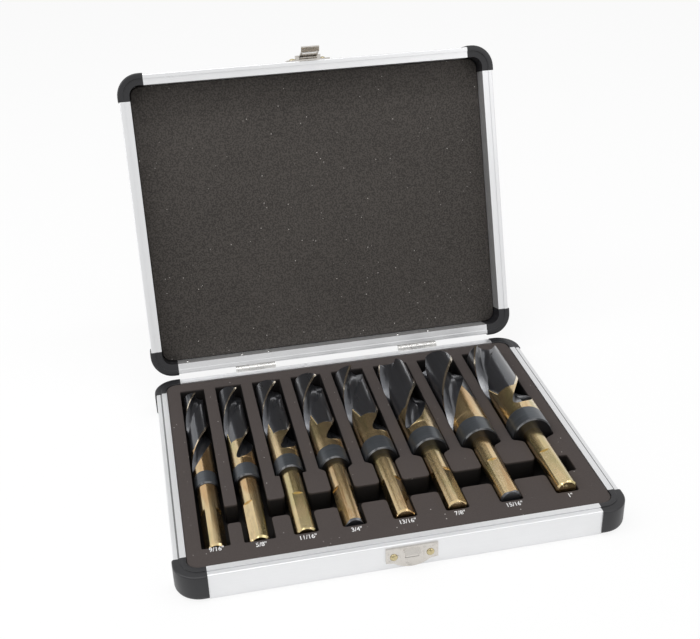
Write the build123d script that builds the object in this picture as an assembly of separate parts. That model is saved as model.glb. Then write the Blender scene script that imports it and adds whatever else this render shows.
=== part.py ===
from build123d import *

import math
import os

# Carrying case with aluminium edge rails, a cut foam insert and eight reduced-shank twist drills.
# Millimetres. X runs across the front, Y from the front to the hinges, Z up. The origin is the
# centre of the base's underside. The lid is modelled shut, then swung open about its hinge pins.

# ---- case ----
CASE_WIDTH = 260.0
CASE_DEPTH = 206.0
BASE_HEIGHT = 16.5          # underside to the ledge of the base rails
LID_HEIGHT = 19.5           # lid's outer face to the lip of its rails
SEAM_GAP = 0.5              # shut: base ledge to lid lip
LID_OPEN_DEG = 108.6        # how far the lid stands open at rest

# ---- edge rail, one extrusion for the base and one for the lid ----
RAIL_WIDTH = 7.1            # outer face to inner face
RAIL_WALL = 1.2
RAIL_FLANGE = 9.0           # flange that laps under the panel
FLANGE_THICK = 1.0
RAIL_EDGE_R = 0.8
TONGUE_START = 3.6          # raised inner tongue of the base rail
TONGUE_RISE = 0.7
GROOVE_WIDTH = 0.4
GROOVE_DEPTH = 0.3
LIP_WIDTH = 2.8             # lid's outer lip, which stops on the base ledge
LIP_DROP = 0.7

# ---- moulded corner ----
CORNER_LEG = 17.2           # case's outer face to the end of each leg
CORNER_RADIUS = 14.0        # of the rails' outer face, round the corner
CORNER_PROUD = 1.0          # how far the moulding stands out from the rails
CORNER_TOP_PROUD = 0.1
CORNER_FOOT = 2.0           # chamfer round its foot
SPIGOT_LENGTH = 10.0
SPIGOT_GAP = 0.2

# ---- panels and foam ----
PANEL_THICK = 3.0
PANEL_FIT = 0.2
FOAM_FIT = 0.2
FOAM_DROP = 0.5             # foam top below the tongue
FOAM_FLOOR = 0.8            # foam left under the pockets
LID_FOAM_THICK = 3.6

# ---- drills ----
DRILL_DIAMETERS = {
    "drill_9_16": 14.2875, "drill_5_8": 15.875, "drill_11_16": 17.4625, "drill_3_4": 19.05,
    "drill_13_16": 20.6375, "drill_7_8": 22.225, "drill_15_16": 23.8125, "drill_1_inch": 25.4,
}
# turn of each drill in its pocket, degrees: where one margin stands at the point, +X towards +Z
DRILL_TURNS = {
    "drill_9_16": 78.0, "drill_5_8": 54.0, "drill_11_16": 47.0, "drill_3_4": 46.0,
    "drill_13_16": 68.0, "drill_7_8": 130.0, "drill_15_16": 11.0, "drill_1_inch": 98.0,
}
# where one of the three flats on each shank faces, measured the same way
FLAT_TURNS = {
    "drill_9_16": 30.0, "drill_5_8": 121.0, "drill_11_16": 85.0, "drill_3_4": 25.0,
    "drill_13_16": 165.0, "drill_7_8": 175.0, "drill_15_16": 98.0, "drill_1_inch": 107.0,
}
DRILL_LENGTH = 164.0
SHANK_DIA = 12.7
SHANK_LENGTH = 56.5
SHANK_CHAMFER = 1.0
SHOULDER_CHAMFER = 1.2
FLAT_LENGTH = 33.5
FLAT_DEPTH = 0.9
POINT_ANGLE = 118.0
LEAD_SMALLEST = 115.0       # lead of the helix on the smallest drill
LEAD_PER_MM = 2.2           # and how it grows with diameter
COLLAR_SMALLEST = 16.5      # shoulder to where the flutes break out, on the smallest drill
COLLAR_PER_MM = 0.25
RUNOUT_LENGTH = 20.0        # over which the flutes sink to full depth
FLUTE_STATIONS = 12         # flat facets along a flute
FLUTE_FACETS = 3            # and round its curved bottom

# flute section, as shares of the drill's radius, because a twist drill's section scales with it
WEB = 0.19                  # half the web
LIP_END = (0.40, WEB)
FLUTE_MID = (0.02, 0.52)
HEEL_END = (0.16, 1.12)
OUTSIDE = 1.3
FLUTE_MIDDLE_DEG = 47.0     # which way a flute faces
RUNOUT_LIFT = 0.95          # how far out, in radii, the flutes start

# ---- pockets ----
POCKET_SIDE = 1.0           # foam to drill, each side
SLOT_SIDE = 0.7             # foam to shank, each side
WEB_WIDTH = 7.6             # foam between two pockets
SLOT_FRONT = 1.5            # foam to shank end
POCKET_BACK = 1.5           # foam to drill point
SHOULDER_GAP = 1.5          # foam to drill shoulder
FULL_POCKETS = 2            # the smallest drills lie in straight pockets
SQUARE_POCKETS = 3          # up to this one the pockets' shoulders are square
SHOULDER_CUT = 3.0          # largest chamfer on the other pockets' shoulders
DRILL_REST = 0.3            # drill to pocket floor
CUT_SHARE = 0.6             # of the step, where the step is too small for that
DRILL_MIDDLE_Y = 2.5        # middle of each drill's length
TRENCH_BEHIND = 17.3        # shank end to the finger trench
TRENCH_WIDTH = 16.0
TRENCH_OVERRUN = 6.0        # trench past the last shank's slot

# ---- hinges ----
HINGE_X = 59.0
HINGE_LENGTH = 28.0
HINGE_OFFSET = 2.2          # pin axis behind the rails
KNUCKLE_R = 2.1
KNUCKLE_GAP = 0.2
MIDDLE_KNUCKLE = 9.6
PIN_R = 0.9
RUNNING_FIT = 0.05
LEAF_THICK = 0.9
LEAF_REACH = 9.0
LEAF_CLEAR = 0.3            # leaf plate to the sweep of the other leaf's knuckle

# ---- latch ----
LATCH_WIDTH = 30.0
LATCH_SIDE = 9.6            # plate height at its sides
LATCH_MID = 13.8            # and at its middle
LATCH_BULGE = 21.0          # width of the rounded middle
LATCH_STEP = 0.6            # from the sides down to where it starts
LATCH_THICK = 1.0
STRIKE_DROP = 1.7           # strike's straight edge below the base ledge
LATCH_RISE = 1.4            # latch plate's straight edge above the lid's lip
TONGUE_W = 9.0
TONGUE_OUT = 2.9
TONGUE_THICK = 1.0
TONGUE_TOP = 1.4            # straight edge to the root of the tongue
TONGUE_FALL = 2.2
TONGUE_BEND = 0.2           # thicker where it leaves the plate
WINDOW_H = 5.6
WINDOW_SIDE = 0.5           # tongue past the window, each side
WINDOW_BELOW = 0.5          # root of the tongue to the window
WINDOW_PAST = 0.2           # window carried past the rail's outer wall
HASP_WIDTH = 12.4
HASP_THICK = 0.9
HASP_PIN_R = 0.6
HASP_KNUCKLE_R = 1.2
EAR_R = 1.5
EAR_WIDTH = 2.4
EAR_GAP = 0.15
HASP_AXIS_OUT = 1.3         # pin axis in front of the latch plate
HASP_BACK = 0.3             # hasp's back face behind the pin axis
HASP_AXIS_RISE = 2.6        # above the plate's straight edge
HASP_REST_DEG = 13.0        # how far the hasp hangs off at rest
HASP_SLOT_SIDE = 0.5
HASP_SLOT_BELOW = 0.5
HASP_BAR = 2.2
HASP_LIP = 2.4
HASP_LIP_EASE = 0.4

OVERCUT = 2.0               # cutters carried past the faces they break through

# ---- worked out from the above ----
HALF_W = CASE_WIDTH / 2
HALF_D = CASE_DEPTH / 2
SEAM_Z = BASE_HEIGHT + SEAM_GAP
TOP_Z = SEAM_Z + LID_HEIGHT
TONGUE_TOP_Z = BASE_HEIGHT + TONGUE_RISE
FOAM_TOP_Z = TONGUE_TOP_Z - FOAM_DROP
POCKET_FLOOR_Z = PANEL_THICK + FOAM_FLOOR
HINGE_AXIS = Axis((0, HALF_D + HINGE_OFFSET, BASE_HEIGHT + SEAM_GAP / 2), (1, 0, 0))
SHANK_R = SHANK_DIA / 2
SHANK_END_Y = DRILL_MIDDLE_Y - DRILL_LENGTH / 2
TRENCH_FRONT_Y = SHANK_END_Y + TRENCH_BEHIND
TRENCH_BACK_Y = TRENCH_FRONT_Y + TRENCH_WIDTH
SHOULDER_Y = SHANK_END_Y + SHANK_LENGTH
POINT_Y = SHANK_END_Y + DRILL_LENGTH
STRIKE_TOP_Z = BASE_HEIGHT - STRIKE_DROP
LATCH_BOTTOM_Z = SEAM_Z + LATCH_RISE
LATCH_FACE_Y = -HALF_D - LATCH_THICK
HASP_AXIS = Axis((0, LATCH_FACE_Y - HASP_AXIS_OUT, LATCH_BOTTOM_Z + HASP_AXIS_RISE), (1, 0, 0))


def swing_open(shape):
    """Lid pieces, from shut to where they stand open."""
    return shape.rotate(HINGE_AXIS, -LID_OPEN_DEG)


# ---- rails and corners ----
def foot_outline(proud=0.0):
    """Start of a frame section: outer face, flange under the panel, inside of the outer wall."""
    return [
        (-proud, 0), (RAIL_FLANGE, 0), (RAIL_FLANGE, FLANGE_THICK), (RAIL_WALL, FLANGE_THICK),
    ]


def channel_outline(ceiling):
    """Inside of a rail's channel, which stops on the panel."""
    inner = RAIL_WIDTH - RAIL_WALL
    return [(RAIL_WALL, ceiling), (inner, ceiling), (inner, PANEL_THICK), (RAIL_WIDTH, PANEL_THICK)]


def base_rail_section():
    """Section of the base frame: x inwards from the rails' outer face, y up."""
    groove_z = BASE_HEIGHT - GROOVE_DEPTH
    outline = foot_outline() + channel_outline(BASE_HEIGHT - RAIL_WALL) + [
        (RAIL_WIDTH, TONGUE_TOP_Z), (TONGUE_START, TONGUE_TOP_Z), (TONGUE_START, groove_z),
        (TONGUE_START - GROOVE_WIDTH, groove_z), (TONGUE_START - GROOVE_WIDTH, BASE_HEIGHT),
        (0, BASE_HEIGHT), (0, 0),
    ]
    return make_face(Polyline(*outline))


def base_corner_section():
    """Section of a base corner, solid above the panel and without the rails' groove."""
    ledge = BASE_HEIGHT + CORNER_TOP_PROUD
    outline = foot_outline(CORNER_PROUD) + [
        (RAIL_WALL, PANEL_THICK), (RAIL_WIDTH, PANEL_THICK), (RAIL_WIDTH, TONGUE_TOP_Z),
        (TONGUE_START, TONGUE_TOP_Z), (TONGUE_START, ledge), (-CORNER_PROUD, ledge),
        (-CORNER_PROUD, 0),
    ]
    return make_face(Polyline(*outline))


def lid_rim_outline(proud=0.0):
    """End of a lid section: inner rim, then the outer lip that stops on the base ledge."""
    rim = LID_HEIGHT - LIP_DROP
    return [
        (RAIL_WIDTH, rim), (LIP_WIDTH, rim), (LIP_WIDTH, LID_HEIGHT), (-proud, LID_HEIGHT),
        (-proud, 0),
    ]


def lid_rail_section():
    """Section of the lid frame, measured down from the lid's outer face."""
    channel = channel_outline(LID_HEIGHT - LIP_DROP - RAIL_WALL)
    return make_face(Polyline(*foot_outline(), *channel, *lid_rim_outline()))


def lid_corner_section():
    inside = [(RAIL_WALL, PANEL_THICK), (RAIL_WIDTH, PANEL_THICK)]
    rim = lid_rim_outline(CORNER_PROUD)
    return make_face(Polyline(*foot_outline(CORNER_PROUD), *inside, *rim))


def eased(section, trim, foot, top):
    """A section with its two outer corners trimmed: fillet for the rails, chamfer for the mouldings."""
    corner_at_foot = section.vertices().sort_by(Axis.X)[0:2].sort_by(Axis.Y)[0]
    section = trim(corner_at_foot, foot)
    corner_at_top = section.vertices().sort_by(Axis.X)[0:2].sort_by(Axis.Y)[-1]
    return trim(corner_at_top, top)


def rail(section, length, half_span, quarter_turns):
    """A rail with its outer face half_span from the centre, front rail first, then turned."""
    along = Plane((-length / 2, -half_span, 0), x_dir=(0, 1, 0), z_dir=(1, 0, 0))
    return extrude(along * section, length).rotate(Axis.Z, 90 * quarter_turns)


def corner(section, spigot_height):
    """A moulded corner whose two outer faces would meet at the origin, legs along +X and +Y."""
    along_x = Plane((CORNER_RADIUS, 0, 0), x_dir=(0, 1, 0), z_dir=(1, 0, 0))
    along_y = Plane((0, CORNER_RADIUS, 0), x_dir=(1, 0, 0), z_dir=(0, -1, 0))
    bend = Axis((CORNER_RADIUS, CORNER_RADIUS, 0), (0, 0, 1))
    straight = CORNER_LEG - CORNER_RADIUS
    body = revolve(along_x * section, bend, -90)
    body += extrude(along_x * section, straight)
    body += extrude(along_y * section, -straight)
    deep = RAIL_WIDTH - 2 * RAIL_WALL - 2 * SPIGOT_GAP
    mid = RAIL_WIDTH / 2
    height = spigot_height - PANEL_THICK - 2 * SPIGOT_GAP
    lift = PANEL_THICK + SPIGOT_GAP + height / 2
    out = CORNER_LEG + SPIGOT_LENGTH / 2
    body += Pos(out, mid, lift) * Box(SPIGOT_LENGTH, deep, height)
    body += Pos(mid, out, lift) * Box(deep, SPIGOT_LENGTH, height)
    return body


def four_corners(moulding):
    """The moulding at the case's four corners."""
    places = []
    for side_x, side_y, turn in ((-1, -1, 0), (1, -1, 90), (1, 1, 180), (-1, 1, 270)):
        places.append(Pos(side_x * HALF_W, side_y * HALF_D, 0) * moulding.rotate(Axis.Z, turn))
    return Compound(children=places)


def lid_up(shape):
    """Turns a shape built down from the lid's outer face the right way up, shut."""
    if shape.children:
        return Compound(children=[lid_up(each) for each in shape.children])
    return Pos(0, 0, TOP_Z) * shape.mirror(Plane.XY)


def frame(prefix, rail_section, corner_section, channel_top):
    """Four rails and the four mouldings that plug into their ends."""
    section = eased(rail_section, fillet, RAIL_EDGE_R, RAIL_EDGE_R)
    long_rail = CASE_WIDTH - 2 * CORNER_LEG
    short_rail = CASE_DEPTH - 2 * CORNER_LEG
    moulding = corner(eased(corner_section, chamfer, CORNER_FOOT, RAIL_EDGE_R), channel_top)
    return {
        prefix + "_front_rail": rail(section, long_rail, HALF_D, 0),
        prefix + "_right_rail": rail(section, short_rail, HALF_W, 1),
        prefix + "_back_rail": rail(section, long_rail, HALF_D, 2),
        prefix + "_left_rail": rail(section, short_rail, HALF_W, 3),
        prefix + "_corners": four_corners(moulding),
    }


# ---- panels and foam ----
def plate(inset, radius, bottom, top):
    """A rounded plate, inset from the case's outer faces."""
    outline = RectangleRounded(CASE_WIDTH - 2 * inset, CASE_DEPTH - 2 * inset, radius)
    return Pos(0, 0, bottom) * extrude(outline, top - bottom)


def panel():
    """Panel with a rebated edge that slides in over the rails' flange and lies flush with it."""
    edge = RAIL_WALL + PANEL_FIT
    field = RAIL_FLANGE + PANEL_FIT
    tongue = plate(edge, CORNER_RADIUS - edge, FLANGE_THICK, PANEL_THICK)
    return tongue + plate(field, CORNER_RADIUS - field, 0, PANEL_THICK)


def drill_layout():
    """Each drill's X, from equal webs of foam between pockets, centred in the case."""
    widths = [dia + 2 * POCKET_SIDE for dia in DRILL_DIAMETERS.values()]
    edge = -(sum(widths) + WEB_WIDTH * (len(widths) - 1)) / 2
    places = {}
    for name, width in zip(DRILL_DIAMETERS, widths):
        places[name] = edge + width / 2
        edge += width + WEB_WIDTH
    return places


DRILL_X = drill_layout()


def drill_axis_z(dia):
    return POCKET_FLOOR_Z + DRILL_REST + dia / 2


def pocket(name, index):
    """Plan of one pocket: a bay for the body and, past the straight ones, a slot for the shank."""
    x = DRILL_X[name]
    half_bay = DRILL_DIAMETERS[name] / 2 + POCKET_SIDE
    half_slot = SHANK_R + SLOT_SIDE
    front = SHANK_END_Y - SLOT_FRONT
    back = POINT_Y + POCKET_BACK
    if index < FULL_POCKETS:
        return Pos(x, (front + back) / 2) * Rectangle(2 * half_bay, back - front)
    shoulder = SHOULDER_Y - SHOULDER_GAP
    step = half_bay - half_slot
    cut = 0 if index < SQUARE_POCKETS else min(SHOULDER_CUT, CUT_SHARE * step)
    right = [(half_slot, front), (half_slot, shoulder - cut)]
    if cut:
        right.append((half_slot + cut, shoulder))
        right.append((half_bay - cut / 2, shoulder))
    right += [(half_bay, shoulder + cut / 2), (half_bay, back)]
    left = [(-u, v) for u, v in reversed(right)]
    outline = [(x + u, v) for u, v in right + left]
    return make_face(Polyline(*outline, outline[0]))


def foam_insert():
    """Foam block with the eight pockets and the finger trench across the shanks."""
    inset = RAIL_WIDTH + FOAM_FIT
    block = plate(inset, CORNER_RADIUS - inset, PANEL_THICK, FOAM_TOP_Z)
    names = list(DRILL_DIAMETERS)
    first = DRILL_X[names[0]]
    last = DRILL_X[names[-1]] + SHANK_R + SLOT_SIDE + TRENCH_OVERRUN
    trench = Pos((first + last) / 2, (TRENCH_FRONT_Y + TRENCH_BACK_Y) / 2) * Rectangle(
        last - first, TRENCH_BACK_Y - TRENCH_FRONT_Y
    )
    cut = trench
    for index, name in enumerate(names):
        cut += pocket(name, index)
    deep = FOAM_TOP_Z - POCKET_FLOOR_Z + OVERCUT
    return block - Pos(0, 0, POCKET_FLOOR_Z) * extrude(cut, deep)


def lid_foam():
    """Foam sheet on the lid's panel, measured down from the lid's outer face."""
    inset = RAIL_WIDTH + FOAM_FIT
    return plate(inset, CORNER_RADIUS - inset, PANEL_THICK, PANEL_THICK + LID_FOAM_THICK)


# ---- drills ----
def drill_blank(radius):
    """Turned blank: chamfered shank, shouldered body and conical point, along +Z."""
    cone = radius / math.tan(math.radians(POINT_ANGLE / 2))
    outline = Polyline(
        (0, 0), (SHANK_R - SHANK_CHAMFER, 0), (SHANK_R, SHANK_CHAMFER), (SHANK_R, SHANK_LENGTH),
        (radius - SHOULDER_CHAMFER / 2, SHANK_LENGTH), (radius, SHANK_LENGTH + SHOULDER_CHAMFER),
        (radius, DRILL_LENGTH - cone), (0, DRILL_LENGTH), (0, 0),
    )
    return revolve(Plane.XZ * make_face(outline), Axis.Z)


def flute_outline(radius):
    """Points of one flute's section: straight lip side, curved bottom, heel side."""
    lip, mid, heel = [(radius * u, radius * v) for u, v in (LIP_END, FLUTE_MID, HEEL_END)]
    bottom = ThreePointArc(lip, mid, heel)
    curve = [bottom @ (i / FLUTE_FACETS) for i in range(FLUTE_FACETS + 1)]
    out = radius * OUTSIDE
    return [Vector(out, lip[1]), *curve, Vector(out, heel[1])]


def flute_cutter(radius, start, lead):
    """The flute's section carried up the helix in flat facets, from its run-out to past the point."""
    stop = DRILL_LENGTH + OVERCUT
    middle = Vector(1, 0, 0).rotate(Axis.Z, FLUTE_MIDDLE_DEG)
    outline = flute_outline(radius)
    rings = []
    for station in range(FLUTE_STATIONS + 1):
        climb = (stop - start) * station / FLUTE_STATIONS
        left = max(0.0, 1 - climb / RUNOUT_LENGTH)
        lift = middle * (RUNOUT_LIFT * radius * left ** 2)
        turn = 360 * climb / lead
        rings.append([(p + lift).rotate(Axis.Z, turn) + Vector(0, 0, start + climb) for p in outline])
    faces = [Face(Wire.make_polygon(rings[0])), Face(Wire.make_polygon(rings[-1]))]
    for low, high in zip(rings, rings[1:]):
        for i in range(len(outline)):
            j = (i + 1) % len(outline)
            faces.append(Face(Wire.make_polygon([low[i], low[j], high[j]])))
            faces.append(Face(Wire.make_polygon([low[i], high[j], high[i]])))
    return Solid(Shell(faces))


def drill(dia, margin_turn, flat_turn):
    """Reduced-shank twist drill along +Z, shank end at the origin."""
    radius = dia / 2
    growth = dia - min(DRILL_DIAMETERS.values())
    lead = LEAD_SMALLEST + growth * LEAD_PER_MM
    start = SHANK_LENGTH + COLLAR_SMALLEST + growth * COLLAR_PER_MM
    flute = flute_cutter(radius, start, lead)
    blank = drill_blank(radius) - flute
    blank -= flute.rotate(Axis.Z, 180)
    margin_at_point = 360 * (DRILL_LENGTH - start) / lead + math.degrees(math.asin(WEB))
    blank = blank.rotate(Axis.Z, -margin_turn - margin_at_point)
    flat = Pos(1.5 * SHANK_R - FLAT_DEPTH, 0, (FLAT_LENGTH - OVERCUT) / 2) * Box(
        SHANK_R, SHANK_DIA, FLAT_LENGTH + OVERCUT)
    for third in range(3):
        blank -= flat.rotate(Axis.Z, 120 * third - flat_turn)
    return blank


def drills():
    parts = {}
    for name, dia in DRILL_DIAMETERS.items():
        laid = drill(dia, DRILL_TURNS[name], FLAT_TURNS[name]).rotate(Axis.X, -90)
        parts[name] = Pos(DRILL_X[name], SHANK_END_Y, drill_axis_z(dia)) * laid
    return parts


# ---- hinges ----
def rod(length, radius, x, axis):
    at = Plane((x - length / 2, axis.position.Y, axis.position.Z), x_dir=(0, 1, 0), z_dir=(1, 0, 0))
    return extrude(at * Circle(radius), length)


def hinge_spans():
    """Start and end, along X from the hinge's middle, of the outer and middle knuckles."""
    half = HINGE_LENGTH / 2
    mid = MIDDLE_KNUCKLE / 2
    return [(-half, -mid - KNUCKLE_GAP), (mid + KNUCKLE_GAP, half)], [(-mid, mid)]


def leaf(x, spans, side):
    """A leaf on the back face with its knuckles; side is -1 on the base and 1 on the lid."""
    axis_z = HINGE_AXIS.position.Z
    near = axis_z + side * (KNUCKLE_R + LEAF_CLEAR)
    far = near + side * LEAF_REACH
    y = HALF_D + LEAF_THICK / 2
    body = Pos(x, y, (near + far) / 2) * Box(HINGE_LENGTH, LEAF_THICK, LEAF_REACH)
    for start, end in spans:
        mid, length = x + (start + end) / 2, end - start
        body += Pos(mid, y, (near + axis_z) / 2) * Box(length, LEAF_THICK, abs(near - axis_z))
        body += rod(length, KNUCKLE_R, mid, HINGE_AXIS)
        body -= rod(length, PIN_R + RUNNING_FIT, mid, HINGE_AXIS)
    return body


def hinge_pieces():
    """Leaves and pins of both hinges, lid leaves shut."""
    outer, middle = hinge_spans()
    places = (-HINGE_X, HINGE_X)
    base = Compound(children=[leaf(x, outer, -1) for x in places])
    lid = Compound(children=[leaf(x, middle, 1) for x in places])
    pins = Compound(children=[rod(HINGE_LENGTH, PIN_R, x, HINGE_AXIS) for x in places])
    return base, lid, pins


# ---- latch ----
def latch_outline():
    """Straight top edge at y = 0, rounded middle below it."""
    half = LATCH_WIDTH / 2
    bulge = LATCH_BULGE / 2
    shoulder = LATCH_SIDE + LATCH_STEP
    return make_face([
        Line((-half, 0), (half, 0)), Line((half, 0), (half, -LATCH_SIDE)),
        Line((half, -LATCH_SIDE), (bulge, -shoulder)),
        ThreePointArc((bulge, -shoulder), (0, -LATCH_MID), (-bulge, -shoulder)),
        Line((-bulge, -shoulder), (-half, -LATCH_SIDE)), Line((-half, -LATCH_SIDE), (-half, 0)),
    ])


def on_front(shape_2d, edge_z):
    """Stands a plan on the front face, its y up, LATCH_THICK proud."""
    at = Plane((0, -HALF_D, edge_z), x_dir=(1, 0, 0), z_dir=(0, -1, 0))
    return extrude(at * shape_2d, LATCH_THICK)


def tongue_heights():
    """Root top, lip top and lip underside of the strike's tongue."""
    root = STRIKE_TOP_Z - TONGUE_TOP
    lip = root - TONGUE_FALL
    return root, lip, lip - TONGUE_THICK


def strike_plate():
    """Plate on the base front with a tongue pressed out over a window."""
    root, lip, under = tongue_heights()
    body = on_front(latch_outline(), STRIKE_TOP_Z)
    body -= strike_window(0)
    out = LATCH_FACE_Y - TONGUE_OUT
    bend = root - TONGUE_THICK - TONGUE_BEND
    side = make_face(Polyline(
        (-HALF_D, root), (LATCH_FACE_Y, root), (out, lip), (out, under),
        (LATCH_FACE_Y, bend), (-HALF_D, bend), (-HALF_D, root),
    ))
    at = Plane((-TONGUE_W / 2, 0, 0), x_dir=(0, 1, 0), z_dir=(1, 0, 0))
    return body + extrude(at * side, TONGUE_W)


def strike_window(depth_past):
    """The opening that the tongue was pressed from, carried on into the rail."""
    root = tongue_heights()[0]
    width = TONGUE_W - 2 * WINDOW_SIDE
    deep = LATCH_THICK + RAIL_WALL + depth_past
    return Pos(0, LATCH_FACE_Y + (deep - OVERCUT) / 2, root - WINDOW_BELOW - WINDOW_H / 2) * Box(
        width, deep + OVERCUT, WINDOW_H)


def latch_plate():
    """Plate on the lid front with two ears that hold the hasp's pin."""
    body = on_front(latch_outline().mirror(Plane.XZ), LATCH_BOTTOM_Z)
    axis_y, axis_z = HASP_AXIS.position.Y, HASP_AXIS.position.Z
    reach = LATCH_FACE_Y - axis_y + EAR_R
    for side in (-1, 1):
        x = side * (HASP_WIDTH / 2 + EAR_GAP + EAR_WIDTH / 2)
        body += Pos(x, LATCH_FACE_Y - reach / 2, axis_z) * Box(EAR_WIDTH, reach, 2 * EAR_R)
        body -= rod(EAR_WIDTH, HASP_PIN_R, x, HASP_AXIS)
    return body


def hasp_pin():
    return rod(HASP_WIDTH + 2 * (EAR_GAP + EAR_WIDTH), HASP_PIN_R, 0, HASP_AXIS)


def hasp():
    """Swinging plate whose slot drops over the strike's tongue."""
    root, lip, under = tongue_heights()
    axis_y, axis_z = HASP_AXIS.position.Y, HASP_AXIS.position.Z
    back = axis_y + HASP_BACK
    front = back - HASP_THICK
    slot_top = root + HASP_SLOT_BELOW
    slot_bottom = under - HASP_SLOT_BELOW
    foot = slot_bottom - HASP_BAR
    outline = make_face(Polyline(
        (back, axis_z), (back, foot), (back - HASP_LIP, foot - HASP_LIP),
        (front - HASP_LIP, foot - HASP_LIP + HASP_LIP_EASE), (front, foot + HASP_LIP_EASE),
        (front, axis_z), (back, axis_z),
    ))
    at = Plane((-HASP_WIDTH / 2, 0, 0), x_dir=(0, 1, 0), z_dir=(1, 0, 0))
    body = extrude(at * outline, HASP_WIDTH) + rod(HASP_WIDTH, HASP_KNUCKLE_R, 0, HASP_AXIS)
    body -= rod(HASP_WIDTH, HASP_PIN_R + RUNNING_FIT, 0, HASP_AXIS)
    slot_width = TONGUE_W + 2 * HASP_SLOT_SIDE
    slot = Box(slot_width, HASP_THICK + 2 * OVERCUT, slot_top - slot_bottom)
    body -= Pos(0, back - HASP_THICK / 2, (slot_top + slot_bottom) / 2) * slot
    return body


def build():
    """Every part by name, in the rest state: lid open, hasp hanging off, drills in their pockets."""
    base = frame("base", base_rail_section(), base_corner_section(), BASE_HEIGHT - RAIL_WALL)
    lid_channel = LID_HEIGHT - LIP_DROP - RAIL_WALL
    lid = frame("lid", lid_rail_section(), lid_corner_section(), lid_channel)
    lid["lid_panel"] = panel()
    lid["lid_foam"] = lid_foam()
    lid = {name: lid_up(shape) for name, shape in lid.items()}
    base_leaves, lid_leaves, pins = hinge_pieces()
    base["base_front_rail"] -= strike_window(WINDOW_PAST)
    base.update({
        "base_panel": panel(), "foam_insert": foam_insert(), "strike_plate": strike_plate(),
        "hinge_base_leaves": base_leaves, "hinge_pins": pins,
    })
    lid.update({
        "hinge_lid_leaves": lid_leaves, "latch_plate": latch_plate(), "hasp_pin": hasp_pin(),
        "hasp": hasp().rotate(HASP_AXIS, -HASP_REST_DEG),
    })
    parts = dict(base)
    parts.update({name: swing_open(shape) for name, shape in lid.items()})
    parts.update(drills())
    return parts


if __name__ == "__main__":
    os.makedirs("parts", exist_ok=True)
    for name, shape in build().items():
        export_step(shape, "parts/" + name + ".step")
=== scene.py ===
import math

import bmesh
import bpy
from bpy.props import FloatProperty, FloatVectorProperty, PointerProperty
from mathutils import Matrix, Vector


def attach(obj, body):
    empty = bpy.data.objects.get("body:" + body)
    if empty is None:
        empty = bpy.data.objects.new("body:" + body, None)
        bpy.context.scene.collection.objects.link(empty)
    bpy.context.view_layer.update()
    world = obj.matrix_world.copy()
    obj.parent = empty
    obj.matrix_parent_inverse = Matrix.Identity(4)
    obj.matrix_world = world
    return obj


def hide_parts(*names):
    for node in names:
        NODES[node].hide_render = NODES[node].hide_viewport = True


bl_info = {
    "name": "Drill Bit Case",
    "version": (1, 0, 0),
    "blender": (4, 5, 0),
    "location": "View3D > Sidebar > Drill Case",
    "description": "A hinged drill bit case: edge rails, moulded corners, cut foam and twist drills",
    "category": "Object",
}

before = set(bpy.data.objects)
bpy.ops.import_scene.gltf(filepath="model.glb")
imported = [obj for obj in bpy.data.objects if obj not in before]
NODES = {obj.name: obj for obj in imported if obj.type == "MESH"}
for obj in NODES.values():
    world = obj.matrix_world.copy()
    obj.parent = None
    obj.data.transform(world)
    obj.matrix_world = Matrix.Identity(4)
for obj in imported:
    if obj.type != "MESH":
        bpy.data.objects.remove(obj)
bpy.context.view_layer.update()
MM = 0.001

# Sizes that the fixed frame already has, in millimetres.
CASE_W, CASE_D, TOP_Z = 260.0, 206.0, 36.5
LEDGE_Z, TONGUE_TOP_Z, FOAM_TOP_Z, POCKET_FLOOR_Z = 16.5, 17.2, 16.7, 3.8
PANEL_THICK, RAIL_WIDTH = 3.0, 7.1
# Where the painted shade on the side rails' ledges lies: the middle of its dark band, in from the outer
# face, and the band's width.
GROOVE_SHADE_IN, GROOVE_SHADE_WIDTH = 3.1, 1.0
LID_LIP, LID_LEDGE = 19.5, 18.8
CORNERS, CORNER_R, CORNER_LEG, CORNER_PROUD = ((-1, -1), (1, -1), (1, 1), (-1, 1)), 14.0, 17.2, 1.0
HINGE_X, HINGE_Y, HINGE_Z, LID_OPEN = 59.0, 105.2, 16.75, 108.6
PLATE_FRONT_Y, LEAF_BACK_Y = -104.0, 103.9
SHANK_END_Y, SHOULDER_Y, POINT_Y = -79.5, -23.0, 84.5
SHANK_LENGTH, DRILL_LENGTH = SHOULDER_Y - SHANK_END_Y, POINT_Y - SHANK_END_Y
SHANK_R, FLAT_LENGTH = 6.35, 33.5
NECK_SMALLEST, NECK_PER_MM = 16.5, 0.25
TRENCH_FRONT, TRENCH_BACK, TRENCH_OVERRUN = -62.2, -46.2, 6.0
POCKET_SIDE, SLOT_SIDE, END_GAP, WEB_WIDTH = 1.0, 0.7, 1.5, 7.6
FOAM_INSET, PAD_THICK, DRILL_REST = RAIL_WIDTH + 0.2, 3.6, 0.3

# Each drill: its node, diameter, lead of its helix, which way a margin at the point and a flat on the
# shank face (in degrees, +X towards +Z), and its size in words.
DRILLS = (
    ("drill_9_16", 14.2875, 103.0, 67.0, 30.0, '9/16"'),
    ("drill_5_8", 15.875, 113.0, 42.0, 121.0, '5/8"'),
    ("drill_11_16", 17.4625, 117.0, 37.0, 85.0, '11/16"'),
    ("drill_3_4", 19.05, 121.0, 38.0, 25.0, '3/4"'),
    ("drill_13_16", 20.6375, 140.0, 71.0, 165.0, '13/16"'),
    ("drill_7_8", 22.225, 143.0, 135.0, 175.0, '7/8"'),
    ("drill_15_16", 23.8125, 147.0, 16.0, 98.0, '15/16"'),
    ("drill_1_inch", 25.4, 148.0, 106.0, 107.0, '1"'),
)


def drill_places():
    """Each drill's X in millimetres, from equal webs of foam between the pockets."""
    widths = [row[1] + 2 * POCKET_SIDE for row in DRILLS]
    edge = -(sum(widths) + WEB_WIDTH * (len(DRILLS) - 1)) / 2
    places = []
    for width in widths:
        places.append(edge + width / 2)
        edge += width + WEB_WIDTH
    return places


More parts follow.
